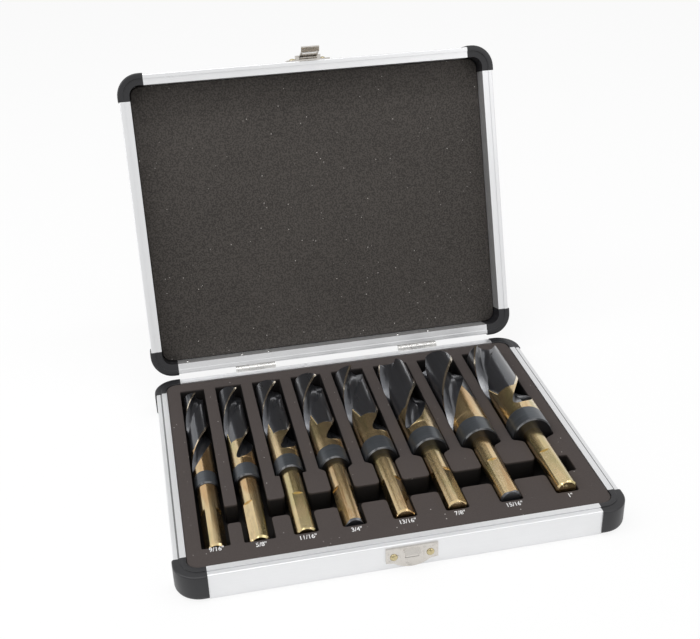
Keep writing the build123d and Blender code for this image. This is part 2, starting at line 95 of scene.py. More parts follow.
DRILL_X = drill_places()


# ---------------------------------------------------------------- node writing
class Amount:
    """A number in a node tree. Python's operators on it add Math nodes."""

    def __init__(self, recipe, socket):
        self.recipe = recipe
        self.socket = socket


def math_sign(operation, swapped):
    """A method of Amount that adds one Math node, its terms swapped if the amount comes second."""
    def run(self, other):
        return self.recipe.math(operation, *((other, self) if swapped else (self, other)))
    return run


for _sign, _operation in (("add", "ADD"), ("sub", "SUBTRACT"), ("mul", "MULTIPLY"),
                          ("truediv", "DIVIDE"), ("gt", "GREATER_THAN"), ("lt", "LESS_THAN")):
    setattr(Amount, "__" + _sign + "__", math_sign(_operation, False))
    if _sign in ("add", "sub", "mul"):
        setattr(Amount, "__r" + _sign + "__", math_sign(_operation, True))


class Recipe:
    """Writes nodes into one tree."""

    def __init__(self, tree):
        self.tree = tree

    def add(self, kind, settings=None, values=None):
        """One node: its settings first, then the values or links of its sockets."""
        node = self.tree.nodes.new(kind)
        for key, value in (settings or {}).items():
            setattr(node, key, value)
        for key, value in (values or {}).items():
            self.feed(self.find(node.inputs, key), value)
        return node

    def find(self, sockets, key):
        if isinstance(key, int):
            return sockets[key]
        return next(s for s in sockets if key in (s.identifier, s.name))

    def feed(self, socket, value):
        if isinstance(value, Amount):
            value = value.socket
        if isinstance(value, bpy.types.NodeSocket):
            self.tree.links.new(value, socket)
        else:
            socket.default_value = value

    def amount(self, node, key=0):
        return Amount(self, self.find(node.outputs, key))

    def math(self, operation, *terms, clamp=False):
        node = self.add("ShaderNodeMath", {"operation": operation, "use_clamp": clamp},
                        dict(enumerate(terms)))
        return self.amount(node)

    def least(self, one, other):
        return self.math("MINIMUM", one, other)

    def most(self, one, other):
        return self.math("MAXIMUM", one, other)

    def clamped(self, value, low=0.0, high=1.0):
        return self.least(self.most(value, low), high)

    def split(self, vector):
        """A vector's three numbers."""
        node = self.add("ShaderNodeSeparateXYZ", None, {0: vector})
        return [self.amount(node, k) for k in range(3)]

    def joined(self, *terms):
        """Three numbers as one vector."""
        return self.add("ShaderNodeCombineXYZ", None, dict(enumerate(terms))).outputs[0]

    def smooth(self, value, low, high):
        """0 below low, 1 above high, and an even curve between."""
        node = self.add("ShaderNodeMapRange", {"interpolation_type": "SMOOTHSTEP"},
                        {"Value": value, "From Min": low, "From Max": high})
        return self.amount(node, "Result")

    def choose(self, share, first, second):
        """A number that goes from first to second."""
        return first + (second - first) * share

    def tint(self, share, first, second):
        """A colour that goes from first to second."""
        node = self.add("ShaderNodeMix", {"data_type": "RGBA"},
                        {"Factor_Float": share, "A_Color": color4(first), "B_Color": color4(second)})
        return self.find(node.outputs, "Result_Color")

    def noise(self, at, scale, detail=2.0, rough=0.5, warp=0.0):
        node = self.add("ShaderNodeTexNoise", None, {
            "Vector": at, "Scale": scale, "Detail": detail, "Roughness": rough, "Distortion": warp})
        return self.amount(node)

    def patches(self, at, scale, detail, rough, low, high):
        """Noise cut to soft-edged patches."""
        return self.smooth(self.noise(at, scale, detail, rough), low, high)

    def streaks(self, stretch, detail=3.0, rough=0.6, warp=0.0):
        """Noise drawn out to a different scale along each axis."""
        return self.noise(self.place(stretch), 1.0, detail, rough, warp)

    def attribute(self, name):
        return self.amount(self.add("ShaderNodeAttribute", {"attribute_name": name}), "Fac")

    def place(self, stretch=(1.0, 1.0, 1.0), turn=(0.0, 0.0, 0.0)):
        """Object coordinates, turned and stretched."""
        spot = self.add("ShaderNodeTexCoord")
        turned = self.add("ShaderNodeMapping", None,
                          {"Vector": spot.outputs["Object"], "Rotation": turn})
        node = self.add("ShaderNodeMapping", None, {"Vector": turned.outputs[0], "Scale": stretch})
        return node.outputs[0]

    def shape(self, kind, geometry, values=None, settings=None):
        """One geometry node, and what it makes of a geometry."""
        values = {"Geometry": geometry, **(values or {})}
        return self.add("GeometryNode" + kind, settings, values).outputs[0]

    def bump(self, height, distance, strength):
        node = self.add("ShaderNodeBump", None, {
            "Height": height, "Distance": distance, "Strength": strength})
        return node.outputs[0]


def color4(color):
    """A colour as four numbers; a socket stays as it is."""
    return color if isinstance(color, bpy.types.NodeSocket) else (*color[:3], 1.0)


def shade(color, share):
    """A colour made lighter or darker, as four numbers."""
    return tuple(min(1.0, c * share) for c in color[:3]) + (1.0,)


def new_finish(name):
    """The recipe that writes an empty material, and plain object coordinates."""
    material = bpy.data.materials.new(name)
    material.use_nodes = True
    material.node_tree.nodes.clear()
    recipe = Recipe(material.node_tree)
    recipe.material = material
    return recipe, recipe.place()


def surface(recipe, color, rough, relief=None, values=None):
    """The material, with its surface shader. Relief: a height, its size in metres and its strength."""
    values = {"Base Color": color, "Roughness": recipe.clamped(rough), **(values or {})}
    if relief is not None:
        values["Normal"] = recipe.bump(*relief)
    shader = recipe.add("ShaderNodeBsdfPrincipled", None, values)
    recipe.add("ShaderNodeOutputMaterial", None, {"Surface": shader.outputs[0]})
    return recipe.material


# ---------------------------------------------------------------- finishes
def satin_aluminium(name, color, stretch, turn=(0.0, 0.0, 0.0), groove=None):
    """Drawn aluminium rail: draw lines along it, soft clouding and a few rubbed spots.

    Its last argument gives the X, on either side, of the groove in the ledge, along which a dark band
    of painted shade runs.
    """
    recipe, at = new_finish(name)
    lines = recipe.noise(recipe.place(stretch, turn), 1.0, 3.0, 0.6)
    cloud = recipe.noise(at, 38.0, 3.0, 0.55)
    rub = recipe.patches(at, 240.0, 4.0, 0.7, 0.66, 0.78)
    body = recipe.tint(recipe.clamped(lines * 0.55 + cloud * 0.45),
                       shade(color, 0.86), shade(color, 0.99))
    if groove is not None:
        # Painted shade: a dark band along the groove, standing for the shadow in the gap of the ledge.
        aside = recipe.math("ABSOLUTE", recipe.split(at)[0])
        off = recipe.math("ABSOLUTE", aside - groove * MM)
        body = recipe.tint((off < GROOVE_SHADE_WIDTH / 2 * MM) * 0.8, body, shade(color, 0.12))
    return surface(recipe, recipe.tint(rub * 0.35, body, shade(color, 0.86)),
                   0.3 + lines * 0.12 + rub * 0.12, (lines, 0.00002, 0.25), {"Metallic": 0.82})


def moulded_plastic(name, color):
    """Black moulded plastic: fine grain, flow clouding and scuffs."""
    recipe, at = new_finish(name)
    grain = recipe.noise(at, 2600.0, 2.0, 0.6)
    cloud = recipe.noise(at, 70.0, 3.0, 0.6)
    scuff = recipe.patches(recipe.place((1.0, 1.0, 4.0)), 420.0, 5.0, 0.75, 0.63, 0.75)
    body = recipe.tint(cloud, shade(color, 0.8), shade(color, 1.25))
    return surface(recipe, recipe.tint(scuff * 0.3, body, shade(color, 3.2)),
                   0.3 + cloud * 0.14 + scuff * 0.22, (grain, 0.00003, 0.35),
                   {"Specular IOR Level": 0.5})


def panel_laminate(name, color):
    """Pebbled black laminate with a faint gloss on its high spots."""
    recipe, at = new_finish(name)
    cell = recipe.add("ShaderNodeTexVoronoi", {"feature": "SMOOTH_F1"}, {"Vector": at, "Scale": 900.0})
    pebble = recipe.amount(cell)
    cloud = recipe.noise(at, 25.0, 3.0, 0.6)
    body = recipe.tint(recipe.clamped(cloud * 0.6 + pebble * 0.4),
                       shade(color, 0.75), shade(color, 1.4))
    return surface(recipe, body, 0.42 + pebble * 0.3, (1 - pebble, 0.0001, 0.5))


def closed_cell_foam(name, color, dark, fleck, cell, contrast, depth=None):
    """Closed-cell foam: fine cells, soft clouding and pale dust.

    Depth gives the heights between which the painted shade down in the pockets fades out.
    """
    recipe, at = new_finish(name)
    cells = recipe.noise(at, 1.0 / cell, 2.0, 0.7)
    grain = recipe.noise(at, 3.4 / cell, 1.0, 0.5)
    cloud = recipe.noise(at, 14.0, 4.0, 0.6)
    spotted = recipe.smooth(cells, 0.5 - contrast, 0.5 + contrast)
    body = recipe.tint(recipe.clamped(cloud * 0.4 + spotted * 0.6), dark, color)
    speck = recipe.add("ShaderNodeTexVoronoi", {"feature": "F1"}, {"Vector": at, "Scale": 330.0})
    near = 1 - recipe.smooth(recipe.amount(speck), 0.07, 0.13)
    chosen = recipe.patches(at, 150.0, 3.0, 0.7, 0.56, 0.6)
    shown = recipe.clamped(near * chosen)
    lit = recipe.tint(shown, body, fleck)
    if depth is not None:
        # Painted shade: the foam is painted darker towards the pocket floors, below these heights.
        height = recipe.split(at)[2]
        lit = recipe.tint(recipe.smooth(height, *depth), shade(dark, 0.16), lit)
    return surface(recipe, lit, 0.78 + cells * 0.2, (cells * 0.7 + grain * 0.3, 0.00018, 0.6),
                   {"Specular IOR Level": 0.3})


def plated_nickel(name, color):
    """Bright plating over pressed sheet: slight waviness, fine scratches and stained patches."""
    recipe, at = new_finish(name)
    wave = recipe.noise(at, 260.0, 2.0, 0.5)
    scratch = recipe.noise(recipe.place((1.0, 14.0, 14.0), (0.0, 0.35, 0.0)), 300.0, 3.0, 0.7)
    stain = recipe.patches(at, 420.0, 4.0, 0.65, 0.5, 0.72)
    return surface(recipe, recipe.tint(stain * 0.5, color, shade(color, 0.62)),
                   0.14 + scratch * 0.12 + stain * 0.14, (wave, 0.0002, 0.5), {"Metallic": 1.0})


def rivet_brass(name, color):
    """Pale brass heads, tarnished in patches."""
    recipe, at = new_finish(name)
    tarnish = recipe.noise(at, 700.0, 4.0, 0.65)
    body = recipe.tint(recipe.smooth(tarnish, 0.4, 0.7), color, shade(color, 0.5))
    return surface(recipe, body, 0.14 + tarnish * 0.22, (tarnish, 0.0001, 0.25), {"Metallic": 1.0})


def coated_steel(name, gold, dark, collar):
    """Drill finish: a gold coat on shank, neck and margins, and blue-black oxide on the rest.

    The drill's coat attribute says which zone a face is in, and its ground attribute says how far past
    the start of the grinding a point is, in metres.
    """
    recipe, at = new_finish(name)
    zone, ground = recipe.attribute("coat"), recipe.attribute("ground")
    ragged = recipe.noise(at, 900.0, 2.0, 0.6) - 0.5
    cleared = recipe.smooth(ground + ragged * 0.0004, -0.00005, 0.00015) * (zone > 1.5) * (zone < 2.5)
    golden = (zone > 0.5) * (zone < 2.5) * (1 - cleared)
    banded = zone > 2.5
    long_lines = recipe.streaks((900.0, 18.0, 900.0))
    turned = recipe.streaks((60.0, 5200.0, 60.0), 2.0, 0.5)
    rings = recipe.streaks((60.0, 1500.0, 60.0))
    heat = recipe.streaks((70.0, 16.0, 70.0), warp=0.5)
    blotch = recipe.smooth(recipe.streaks((150.0, 50.0, 150.0), 4.0, 0.7), 0.52, 0.68)
    hot = (gold[0] * 0.8, gold[1] * 0.6, gold[2] * 0.42, 1.0)
    green = (gold[0] * 0.72, gold[1] * 0.8, gold[2] * 0.66, 1.0)
    warm = recipe.tint(recipe.smooth(heat, 0.5, 0.66) * 0.75, gold, hot)
    warm = recipe.tint(recipe.smooth(heat, 0.47, 0.32) * 0.9, warm, green)
    warm = recipe.tint(recipe.clamped(long_lines * 0.3 + blotch * 0.26), warm, shade(gold, 0.5))
    # Painted highlight: the margins past the start of the grinding are painted pale, as a bright line
    # along each.
    margin_highlight = (zone > 1.1) * (zone < 1.4) * recipe.smooth(ground, 0.0, 0.002)
    pale = (0.96, 0.86, 0.68, 1.0)
    warm = recipe.tint(margin_highlight * 0.75, warm, pale)
    oxide = recipe.tint(recipe.clamped(heat * 0.6 + long_lines * 0.4),
                        shade(dark, 0.6), shade(dark, 1.4))
    band = recipe.tint(recipe.clamped(rings * 0.7 + heat * 0.3),
                       shade(collar, 0.4), shade(collar, 1.6))
    cool = recipe.tint(banded, oxide, band)
    cool = recipe.tint(zone > 3.5, cool, shade(dark, 0.25))
    polish = recipe.choose(golden, 0.24 + heat * 0.1, 0.16 + long_lines * 0.1)
    spread = recipe.choose(golden, banded * 0.6 + 0.15, 1.0)
    return surface(recipe, recipe.tint(golden, cool, warm), polish + banded * 0.12,
                   (turned * spread, 0.00004, 0.7), {
                       "Metallic": recipe.choose(golden, 0.8, 1.0),
                       "Coat Weight": recipe.clamped(0.8 - heat * 0.3 - banded * 0.4),
                       "Coat Roughness": 0.13, "Coat IOR": 1.9})


def label_ink(name, color):
    """Screened white ink, thin where the foam shows through."""
    recipe, at = new_finish(name)
    thin = recipe.patches(at, 1400.0, 2.0, 0.6, 0.52, 0.7)
    foam = (0.12, 0.11, 0.1, 1.0)
    return surface(recipe, recipe.tint(thin * 0.75, color, foam), 0.6 + thin * 0.2)


def pale_floor(name, color):
    """White floor that keeps soft shadows and stays pale to the eye and in reflections."""
    recipe, at = new_finish(name)
    light = recipe.add("ShaderNodeLightPath")
    seen = recipe.amount(light, "Is Camera Ray") * 0.86 + recipe.amount(light, "Is Glossy Ray") * 0.5
    mottle = recipe.noise(at, 3.0, 2.0, 0.5)
    matt = recipe.add("ShaderNodeBsdfDiffuse", None, {
        "Color": recipe.tint(mottle, shade(color, 0.995), shade(color, 1.0))})
    glow = recipe.add("ShaderNodeEmission", None, {"Color": (1.0, 1.0, 1.0, 1.0), "Strength": 1.0})
    blend = recipe.add("ShaderNodeMixShader", None, {
        0: recipe.clamped(seen), 1: matt.outputs[0], 2: glow.outputs[0]})
    recipe.add("ShaderNodeOutputMaterial", None, {"Surface": blend.outputs[0]})
    return recipe.material


# ---------------------------------------------------------------- mesh helpers
def swing_open():
    """Moves a shut lid piece to where the lid stands open."""
    axis = Vector((0.0, HINGE_Y * MM, HINGE_Z * MM))
    turn = Matrix.Rotation(math.radians(-LID_OPEN), 4, "X")
    return Matrix.Translation(axis) @ turn @ Matrix.Translation(-axis)


def lid_up():
    """Moves a lid piece that was built on its back to where the lid stands open."""
    return swing_open() @ Matrix.Translation((0, 0, TOP_Z * MM)) @ Matrix.Diagonal((1, 1, -1, 1))


def set_out(name, data):
    """An object of its own for some data, in the scene."""
    piece = bpy.data.objects.new(name, data)
    bpy.context.scene.collection.objects.link(piece)
    return piece


def evaluated(maker):
    """The mesh that a maker object comes to; the maker is removed."""
    bpy.context.view_layer.update()
    made = maker.evaluated_get(bpy.context.evaluated_depsgraph_get())
    mesh = bpy.data.meshes.new_from_object(made)
    bpy.data.objects.remove(maker)
    return mesh


def mesh_from(name, bm, finish, smooth_below=40.0):
    """A mesh object from a bmesh, with doubles merged, faces outwards and one finish."""
    bmesh.ops.remove_doubles(bm, verts=bm.verts, dist=1e-7)
    bmesh.ops.recalc_face_normals(bm, faces=bm.faces)
    mesh = bpy.data.meshes.new(name)
    bm.to_mesh(mesh)
    bm.free()
    mesh.materials.append(finish)
    mesh.shade_smooth()
    mesh.set_sharp_from_angle(angle=math.radians(smooth_below))
    return set_out(name, mesh)


def rounded(rows):
    """A closed outline with rounded corners: each row is a corner and its radius, in millimetres."""
    made = []
    spots = [Vector(row[:2]) for row in rows]
    for i, (here, row) in enumerate(zip(spots, rows)):
        before, after = spots[i - 1] - here, spots[(i + 1) % len(spots)] - here
        half = before.angle(after) / 2
        if row[2] <= 0 or abs(half - math.pi / 2) < 0.01:
            made.append(tuple(here))
            continue
        reach = min(row[2] / math.tan(half), before.length * 0.49, after.length * 0.49)
        radius = reach * math.tan(half)
        before, after = before.normalized(), after.normalized()
        centre = here + (before + after).normalized() * (radius / math.sin(half))
        start, end = here + before * reach, here + after * reach
        steps = max(2, int(math.degrees(math.pi - 2 * half) / 15))
        a0 = math.atan2(start.y - centre.y, start.x - centre.x)
        a1 = math.atan2(end.y - centre.y, end.x - centre.x)
        swing = (a1 - a0 + math.pi) % (2 * math.pi) - math.pi
        for k in range(steps + 1):
            a = a0 + swing * k / steps
            made.append((centre.x + radius * math.cos(a), centre.y + radius * math.sin(a)))
    return made


def cut_sheet(name, outlines, bottom, top, edge):
    """A mesh of a flat sheet with holes and softened edges: the first outline is the rim."""
    curve = bpy.data.curves.new(name, "CURVE")
    curve.dimensions, curve.fill_mode = "2D", "BOTH"
    curve.bevel_depth, curve.bevel_resolution, curve.offset = edge * MM, 2, -edge * MM
    curve.extrude = ((top - bottom) / 2 - edge) * MM
    for outline in outlines:
        spline = curve.splines.new("POLY")
        spline.points.add(len(outline) - 1)
        for point, (x, y) in zip(spline.points, outline):
            point.co = (x * MM, y * MM, 0.0, 1.0)
        spline.use_cyclic_u = True
    mesh = evaluated(set_out(name, curve))
    bpy.data.curves.remove(curve)
    mesh.transform(Matrix.Translation((0.0, 0.0, (top + bottom) / 2 * MM)))
    return mesh


def dress(node, finish):
    """Gives a frame node its finish."""
    slots = NODES[node].material_slots
    for slot in slots:
        slot.material = finish
    if not slots:
        NODES[node].data.materials.append(finish)


# ---------------------------------------------------------------- settings
def paint(name, description, default):
    """A colour setting."""
    return FloatVectorProperty(name=name, description=description, subtype="COLOR", size=3,
                               min=0, max=1, default=default)


def span(name, description, default, low, high):
    """A length setting, from millimetres."""
    return FloatProperty(name=name, description=description, unit="LENGTH",
                         default=default * MM, min=low * MM, max=high * MM)


def watts(name, description, default):
    """A lamp's power, in watts."""
    return FloatProperty(name=name, description=description, unit="POWER",
                         default=default, min=0, max=100)


class RailSettings(bpy.types.PropertyGroup):
    color: paint("Rail colour", "Drawn aluminium of the edge rails", (0.9, 0.905, 0.915))
    draw_lines: FloatProperty(name="Draw lines", description="Draw lines across a rail, for each metre",
                              default=5200.0, min=100, max=20000)


class CornerSettings(bpy.types.PropertyGroup):
    color: paint("Corner colour", "Black plastic of the moulded corners", (0.012, 0.012, 0.014))
    foot_radius: span("Foot radius", "Rounding round the outer foot of a corner", 3.2, 0.5, 6)
    top_radius: span("Top radius", "Rounding along the top edge of a corner", 1.1, 0.2, 1.5)


class PanelSettings(bpy.types.PropertyGroup):
    color: paint("Panel colour", "Black laminate outside the base and lid", (0.02, 0.02, 0.022))


class FoamSettings(bpy.types.PropertyGroup):
    block_color: paint("Block colour", "Warm dark foam under the drills", (0.076, 0.063, 0.059))
    pad_color: paint("Pad colour", "Foam sheet inside the lid", (0.085, 0.076, 0.069))
    fleck_color: paint("Fleck colour", "Pale dust on the foam", (0.6, 0.57, 0.54))
    edge: span("Cut edge", "Softening along the edges of the cut foam", 0.35, 0.1, 1)


class FittingSettings(bpy.types.PropertyGroup):
    plate_color: paint("Plate colour", "Plating of the latch and its strike", (0.66, 0.63, 0.59))
    hinge_color: paint("Hinge colour", "Plating of the hinges", (0.74, 0.73, 0.71))
    rivet_color: paint("Rivet colour", "Brass of the latch rivets", (0.62, 0.53, 0.31))
    dome_radius: span("Latch rivet radius", "Radius of a rivet head on the latch", 2.3, 0.5, 4)
    dome_height: span("Latch rivet height", "How far a latch rivet stands out", 1.3, 0.2, 2)


class DrillSettings(bpy.types.PropertyGroup):
    gold_color: paint("Gold coat", "Coat on shanks, necks and margins", (0.86, 0.645, 0.33))
    dark_color: paint("Oxide", "Blue-black oxide in flutes and on the points", (0.07, 0.073, 0.083))
    collar_color: paint("Collar", "Slate band round the collar", (0.085, 0.094, 0.105))
    web: FloatProperty(name="Web",
                       description="Half the web between the flutes, as a share of the radius",
                       default=0.19, min=0.1, max=0.3)
    run_out: span("Run-out", "Length over which a flute sinks to full depth", 12, 5, 40)
    margin: FloatProperty(name="Margin",
                          description="Width of the land that keeps full diameter, in degrees",
                          default=8.5, min=2, max=20)
    relief: span("Land relief", "How far the land behind a margin is ground down", 0.45, 0, 1)
    flat_depth: span("Flat depth", "Depth of the three flats on a shank", 0.85, 0, 1.5)


class LabelSettings(bpy.types.PropertyGroup):
    color: paint("Ink", "Ink of the size labels", (0.8, 0.8, 0.8))
    height: span("Letter size", "Type size of the labels", 4.9, 1, 10)
    front: span("Label line", "Y of the labels' base line", -86.2, -100, -50)


class StageSettings(bpy.types.PropertyGroup):
    floor_color: paint("Floor colour", "Pale floor under the case", (0.93, 0.93, 0.93))
    sky: FloatProperty(name="Sky", description="Strength of the even light all round",
                       default=0.62, min=0, max=2)
    mirrored_sky: FloatProperty(name="Mirrored sky",
                                description="Strength of that light as polished parts mirror it",
                                default=0.8, min=0, max=2)
    key_power: watts("Key power", "Power of the long lamp overhead, in watts", 5.0)
    strip_power: watts("Strip power", "Power of each narrow lamp, in watts", 3.0)
    front_power: watts("Front power", "Power of the lamp in front, in watts", 2.0)


GROUPS = {
    "case_rails": RailSettings, "case_corners": CornerSettings, "case_panels": PanelSettings,
    "case_foam": FoamSettings, "case_fittings": FittingSettings, "case_drills": DrillSettings,
    "case_labels": LabelSettings, "case_stage": StageSettings,
}


# ---------------------------------------------------------------- rails and panels
class DRILLCASE_OT_rails(bpy.types.Operator):
    """Finish the aluminium edge rails of the base and the lid"""

    bl_idname = "drillcase.rails"
    bl_label = "Edge Rails"

    def execute(self, context):
        settings = context.scene.case_rails
        fine, long_way = settings.draw_lines, 30.0
        across = satin_aluminium("aluminium across", settings.color, (long_way, fine, fine))
        deep = satin_aluminium("aluminium front to back", settings.color, (fine, long_way, fine),
                               groove=CASE_W / 2 - GROOVE_SHADE_IN)
        risen = satin_aluminium("aluminium up the lid", settings.color, (fine, long_way, fine),
                                (math.radians(LID_OPEN), 0.0, 0.0))
        for side in ("front", "back"):
            dress("base_" + side + "_rail", across)
            dress("lid_" + side + "_rail", across)
        for side in ("left", "right"):
            dress("base_" + side + "_rail", deep)
            dress("lid_" + side + "_rail", risen)
        return {"FINISHED"}


class DRILLCASE_OT_panels(bpy.types.Operator):
    """Finish the black laminate panels under the base and on the lid"""

    bl_idname = "drillcase.panels"
    bl_label = "Panels"

    def execute(self, context):
        laminate = panel_laminate("black laminate", context.scene.case_panels.color)
        dress("base_panel", laminate)
        dress("lid_panel", laminate)
        return {"FINISHED"}


# ---------------------------------------------------------------- corners
TAPER_LENGTH, TAPER_DEPTH = 0.3, 0.25


def corner_stations(count=12):
    """Places along a corner from the end of one leg to the end of the other: origin and inward way."""
    legs = (CORNER_LEG, CORNER_LEG - TAPER_LENGTH)
    stations = [((leg, 0.0), (0.0, 1.0)) for leg in legs]
    for k in range(count + 1):
        a = math.radians(-90 - 90 * k / count)
        way = (-math.cos(a), -math.sin(a))
        stations.append(((CORNER_R * (1 - way[0]), CORNER_R * (1 - way[1])), way))
    return stations + [((0.0, leg), (1.0, 0.0)) for leg in reversed(legs)]


def sweep_corner(bm, section, place):
    """Carries a section round a corner and closes both ends."""
    stations = corner_stations()
    rings = []
    for i, ((x, y), way) in enumerate(stations):
        shrink = TAPER_DEPTH if i in (0, len(stations) - 1) else 0.0
        ring = []
        for inward, height in section:
            inward = inward + shrink if inward < 0 else inward
            spot = Vector(((x + way[0] * inward) * MM, (y + way[1] * inward) * MM, height * MM))
            ring.append(bm.verts.new(place @ spot))
        rings.append(ring)
    for one, other in zip(rings, rings[1:]):
        for k in range(len(section)):
            n = (k + 1) % len(section)
            bm.faces.new((one[k], one[n], other[n], other[k]))
    ends = [bm.faces.new(rings[0]), bm.faces.new(rings[-1])]
    for end in ends:
        end.normal_update()
    bmesh.ops.triangulate(bm, faces=ends)


def corner_section(outer, inner, step, foot_radius, top_radius):
    """Outline of a corner moulding: inwards from the rails' outer face, and up from its foot."""
    flange, wall, sole = 9.0, 1.2, 1.0
    return rounded([
        (flange, 0.0, 0.0), (-CORNER_PROUD, 0.0, foot_radius), (-CORNER_PROUD, outer, top_radius),
        (step, outer, 0.2), (step, inner, 0.2), (RAIL_WIDTH, inner, 0.3),
        (RAIL_WIDTH, PANEL_THICK, 0.0), (wall, PANEL_THICK, 0.0), (wall, sole, 0.0),
        (flange, sole, 0.0)])


class DRILLCASE_OT_corners(bpy.types.Operator):
    """Build the eight moulded corners, swept round the corners of the rails"""

    bl_idname = "drillcase.corners"
    bl_label = "Moulded Corners"

    def execute(self, context):
        settings = context.scene.case_corners
        plastic = moulded_plastic("corner plastic", settings.color)
        foot, top = settings.foot_radius / MM, settings.top_radius / MM
        over, base_step, lid_step = 0.1, 3.6, 2.8
        base = corner_section(LEDGE_Z + over, TONGUE_TOP_Z, base_step, foot, top)
        lid = corner_section(LID_LIP, LID_LEDGE, lid_step, foot, top)
        for name, section, body in (("base_corners", base, "base"), ("lid_corners", lid, "lid")):
            bm = bmesh.new()
            lift = lid_up() if body == "lid" else Matrix.Identity(4)
            for k, (side_x, side_y) in enumerate(CORNERS):
                at = Matrix.Translation((side_x * CASE_W / 2 * MM, side_y * CASE_D / 2 * MM, 0))
                sweep_corner(bm, section, lift @ at @ Matrix.Rotation(math.radians(90 * k), 4, "Z"))
            piece = mesh_from(name + "_moulded", bm, plastic, 35.0)
            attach(piece, body)
            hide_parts(name)
        return {"FINISHED"}


# ---------------------------------------------------------------- foam
def pocket_side(index):
    """A pocket's right side from its slot's front to its bay's back: half width, Y and radius.

    The two smallest drills' pockets run straight. The third has square shoulders, and the others have
    eased ones.
    """
    bay, slot = DRILLS[index][1] / 2 + POCKET_SIDE, SHANK_R + SLOT_SIDE
    front, back, shoulder = SHANK_END_Y - END_GAP, POINT_Y + END_GAP, SHOULDER_Y - END_GAP
    near, front_r, trench_r = (bay, 1.2, 1.6) if index < 2 else (slot, 1.6, 2.4)
    inner_r, outer_r, back_r = 0.8, 1.0, 0.8
    side = [(near, front, front_r), (near, TRENCH_FRONT, trench_r), (near, TRENCH_BACK, trench_r)]
    if index == 2:
        side += [(slot, shoulder, inner_r), (bay, shoulder, outer_r)]
    elif index > 2:
        step, before, after = bay - slot, 2.0, 1.2
        ease = min(2.6, 0.45 * step)
        side += [(slot, shoulder - before, ease * 1.6), (bay - 0.4 * step, shoulder, ease),
                 (bay, shoulder + after, ease)]
    return side + [(bay, back, back_r)]


def pockets_outline():
    """The one opening that the eight pockets and the trench across them make."""
    backs, fronts = [], []
    for index, x in enumerate(DRILL_X):
        side = pocket_side(index)
        left, right = ([(x + way * u, v, r) for u, v, r in side] for way in (-1, 1))
        # The trench ends at the first pocket, so that pocket's left side runs on past it.
        near, far = (1, 3) if index == 0 else (2, 2)
        backs += left[far:] + right[:1:-1]
        fronts = right[1::-1] + left[:near] + fronts
    last = DRILL_X[-1] + SHANK_R + SLOT_SIDE + TRENCH_OVERRUN
    trench = [(last, TRENCH_BACK, 1.5), (last, TRENCH_FRONT, 1.5)]
    return rounded(backs + trench + fronts)


def foam_rim():
    """The outline of both foams, inside the rails."""
    half_w, half_d = CASE_W / 2 - FOAM_INSET, CASE_D / 2 - FOAM_INSET
    return rounded([(side_x * half_w, side_y * half_d, CORNER_R - FOAM_INSET)
                    for side_x, side_y in CORNERS])


class DRILLCASE_OT_foam_block(bpy.types.Operator):
    """Build the foam block with its eight pockets and the finger trench"""

    bl_idname = "drillcase.foam_block"
    bl_label = "Foam Block"

    def execute(self, context):
        settings = context.scene.case_foam
        dark = shade(settings.block_color, 0.72)
        foam = closed_cell_foam("block foam", settings.block_color, dark, settings.fleck_color,
                                cell=0.0008, contrast=0.2, depth=(0.0148, 0.0167))
        edge = settings.edge / MM
        rim = foam_rim()
        floor = POCKET_FLOOR_Z - 0.4
        upper = cut_sheet("foam upper", [rim, pockets_outline()], floor, FOAM_TOP_Z, edge)
        lower = cut_sheet("foam lower", [rim], PANEL_THICK, POCKET_FLOOR_Z, 0.1)
        bm = bmesh.new()
        bm.from_mesh(upper)
        bm.from_mesh(lower)
        block = mesh_from("foam_block", bm, foam, 40.0)
        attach(block, "base")
        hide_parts("foam_insert")
        return {"FINISHED"}


class DRILLCASE_OT_lid_pad(bpy.types.Operator):
    """Build the foam sheet inside the lid, pressed down along its edges"""

    bl_idname = "drillcase.lid_pad"
    bl_label = "Lid Foam"

    def execute(self, context):
        settings = context.scene.case_foam
        dark = shade(settings.pad_color, 0.32)
        foam = closed_cell_foam("lid foam", settings.pad_color, dark, settings.fleck_color,
                                cell=0.0011, contrast=0.07)
        rim = foam_rim()
        bm = bmesh.new()
        pressed = 0.9
        bm.from_mesh(cut_sheet("lid sheet", [rim], PANEL_THICK, PANEL_THICK + PAD_THICK, pressed))
        bm.transform(lid_up())
        pad = mesh_from("lid_foam_pad", bm, foam, 50.0)
        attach(pad, "lid")
        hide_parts("lid_foam")
        return {"FINISHED"}


class DRILLCASE_OT_size_labels(bpy.types.Operator):
    """Print each drill's size on the foam in front of its shank"""

    bl_idname = "drillcase.size_labels"
    bl_label = "Size Labels"

    def execute(self, context):
        settings = context.scene.case_labels
        narrowed, bolder, thick, lift, first_in = 0.8, 0.07, 0.02, 0.03, 2.0
        bm = bmesh.new()
        for x, row in zip(DRILL_X, DRILLS):
            curve = bpy.data.curves.new("size words", "FONT")
            curve.body = row[-1]
            curve.size = settings.height
            curve.align_x = "CENTER"
            curve.extrude, curve.offset = thick * MM, bolder * MM
            curve.resolution_u = 4
            words = evaluated(set_out("size words", curve))
            y = settings.front + (first_in * MM if row == DRILLS[0] else 0.0)
            at = Matrix.Translation((x * MM, y, (FOAM_TOP_Z + lift) * MM))
            words.transform(at @ Matrix.Diagonal((narrowed, 1.0, 1.0, 1.0)))
            bm.from_mesh(words)
        labels = mesh_from("size_labels", bm, label_ink("label ink", settings.color), 30.0)
        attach(labels, "base")
        return {"FINISHED"}


# ---------------------------------------------------------------- latch, hinges and rivets
class DRILLCASE_OT_latch(bpy.types.Operator):
    """Finish the strike, the latch plate and its hasp"""

    bl_idname = "drillcase.latch"
    bl_label = "Latch"

    def execute(self, context):
        nickel = plated_nickel("nickel plate", context.scene.case_fittings.plate_color)
        for node in ("strike_plate", "latch_plate", "hasp", "hasp_pin"):
            dress(node, nickel)
        return {"FINISHED"}


